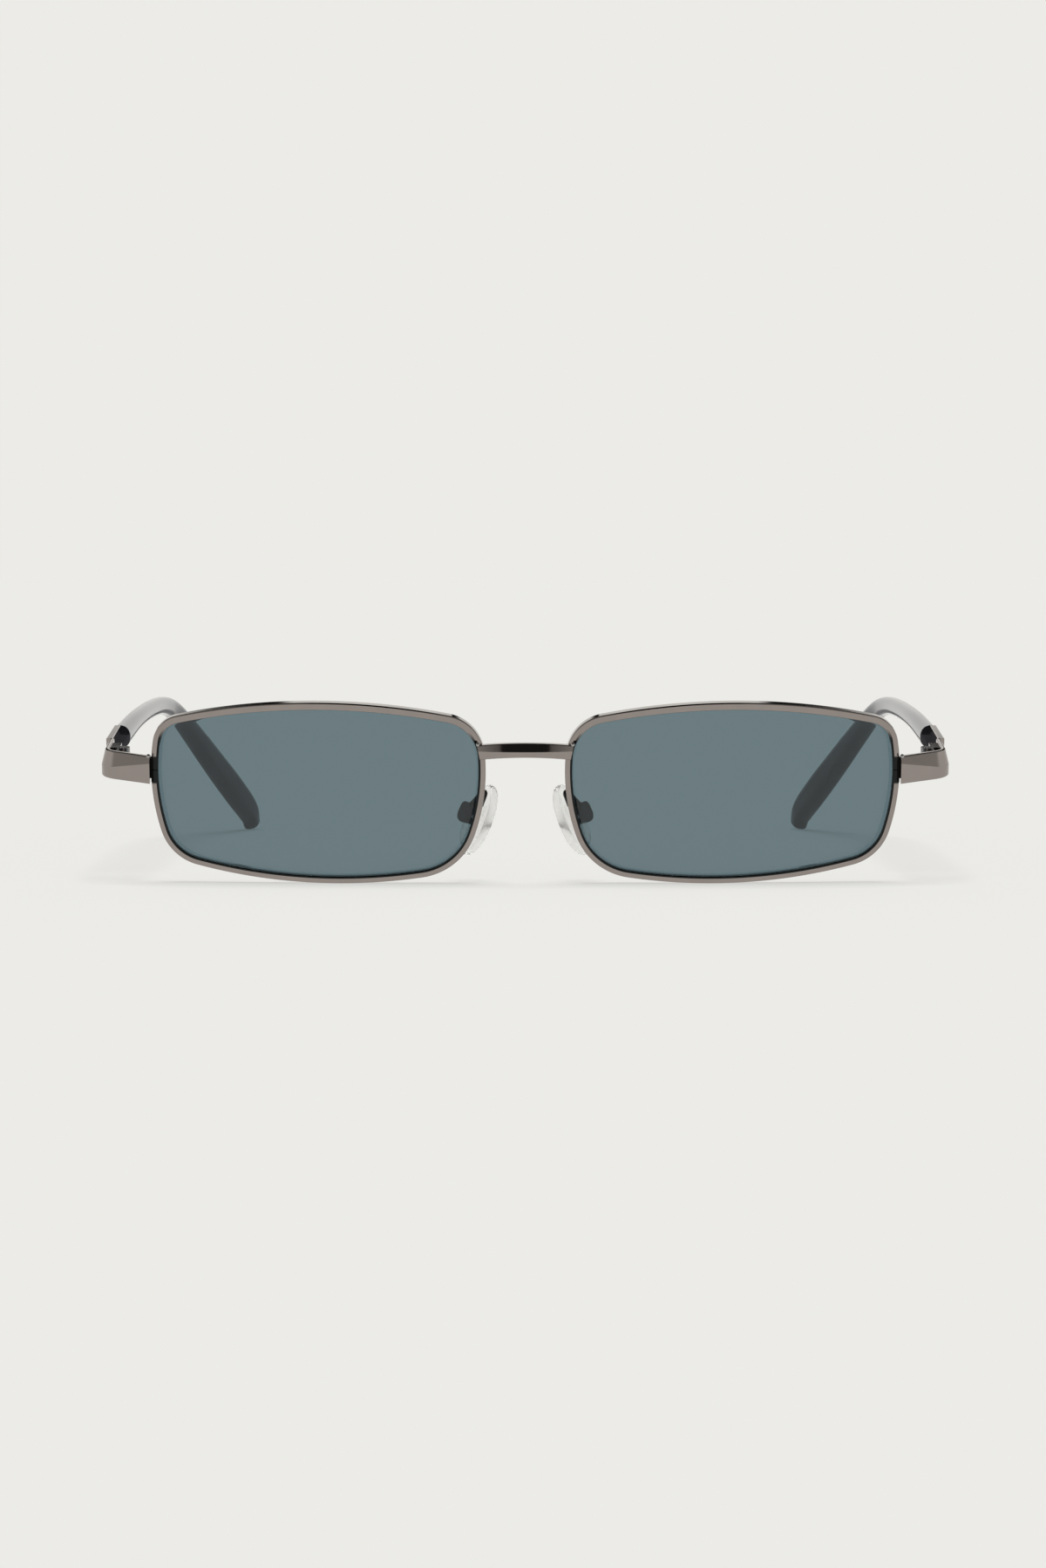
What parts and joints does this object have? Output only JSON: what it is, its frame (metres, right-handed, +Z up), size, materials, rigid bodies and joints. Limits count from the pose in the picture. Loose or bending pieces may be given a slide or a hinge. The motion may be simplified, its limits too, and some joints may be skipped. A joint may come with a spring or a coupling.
{
  "type": "sunglasses",
  "caption": "Narrow rectangular metal sunglasses: tinted lenses in thin rims, rocking clear nose pads and barrel-hinged temples with curved plastic arms.",
  "frame": {"origin": "on the surface that the glasses stand on, under the middle of the whole object's box", "axes": "+Z up, +X towards the wearer's left, -Y the way the wearer looks: the lenses face -Y and the open temples run towards +Y. Nodes named left are on the wearer's left, at +X."},
  "size_m": [0.1434, 0.143, 0.0308],
  "materials": {
    "gunmetal_polish": "mirror-polished gunmetal plating on nickel-alloy wire and strip",
    "gunmetal_fittings": "satin blackened gunmetal on small soldered fittings",
    "steel_fasteners": "plain steel screws and wire",
    "lens_tint": "grey-green tinted lens, polished both sides",
    "black_gloss_arm": "polished black acetate",
    "clear_silicone": "clear soft silicone",
    "clear_insert": "clear stiff plastic, moulded in"
  },
  "bodies": {
    "front": {"rim_left": "gunmetal_polish", "rim_right": "gunmetal_polish", "lens_left": "lens_tint", "lens_right": "lens_tint", "endpiece_left": "gunmetal_polish", "endpiece_right": "gunmetal_polish", "rim_lock_upper_left": "gunmetal_fittings", "rim_lock_upper_right": "gunmetal_fittings", "rim_lock_lower_left": "gunmetal_fittings", "rim_lock_lower_right": "gunmetal_fittings", "hinge_front_leaf_left": "gunmetal_fittings", "hinge_front_leaf_right": "gunmetal_fittings", "pad_arm_left": "gunmetal_fittings", "pad_arm_right": "gunmetal_fittings", "pad_box_left": "gunmetal_fittings", "pad_box_right": "gunmetal_fittings", "bridge": "gunmetal_polish", "rim_lock_screws": "steel_fasteners", "hinge_screws": "steel_fasteners", "pad_screws": "steel_fasteners"},
    "temple_left": {"temple_front_left": "gunmetal_polish", "hinge_temple_leaf_left": "gunmetal_fittings", "temple_core_left": "steel_fasteners", "temple_arm_left": "black_gloss_arm"},
    "temple_right": {"temple_front_right": "gunmetal_polish", "hinge_temple_leaf_right": "gunmetal_fittings", "temple_core_right": "steel_fasteners", "temple_arm_right": "black_gloss_arm"},
    "nose_pad_left": {"nose_pad_left": "clear_silicone", "nose_pad_core_left": "clear_insert"},
    "nose_pad_right": {"nose_pad_right": "clear_silicone", "nose_pad_core_right": "clear_insert"}
  },
  "joints": [
    {"name": "temple_left_fold", "type": "hinge", "parent": "front", "child": "temple_left", "pos_m": [0.0684, -0.05538, 0.02095], "axis": [0, -0.1609, 0.987], "range_deg": [0, 90]},
    {"name": "temple_right_fold", "type": "hinge", "parent": "front", "child": "temple_right", "pos_m": [-0.0684, -0.05538, 0.02095], "axis": [0, 0.1609, -0.987], "range_deg": [0, 85]},
    {"name": "nose_pad_left_rock", "type": "hinge", "parent": "front", "child": "nose_pad_left", "pos_m": [0.00955, -0.06126, 0.01163], "axis": [0.4322, 0.8419, 0.3231], "range_deg": [-10, 10]},
    {"name": "nose_pad_right_rock", "type": "hinge", "parent": "front", "child": "nose_pad_right", "pos_m": [-0.00955, -0.06126, 0.01163], "axis": [0.4322, -0.8419, -0.3231], "range_deg": [-10, 10]}
  ]
}
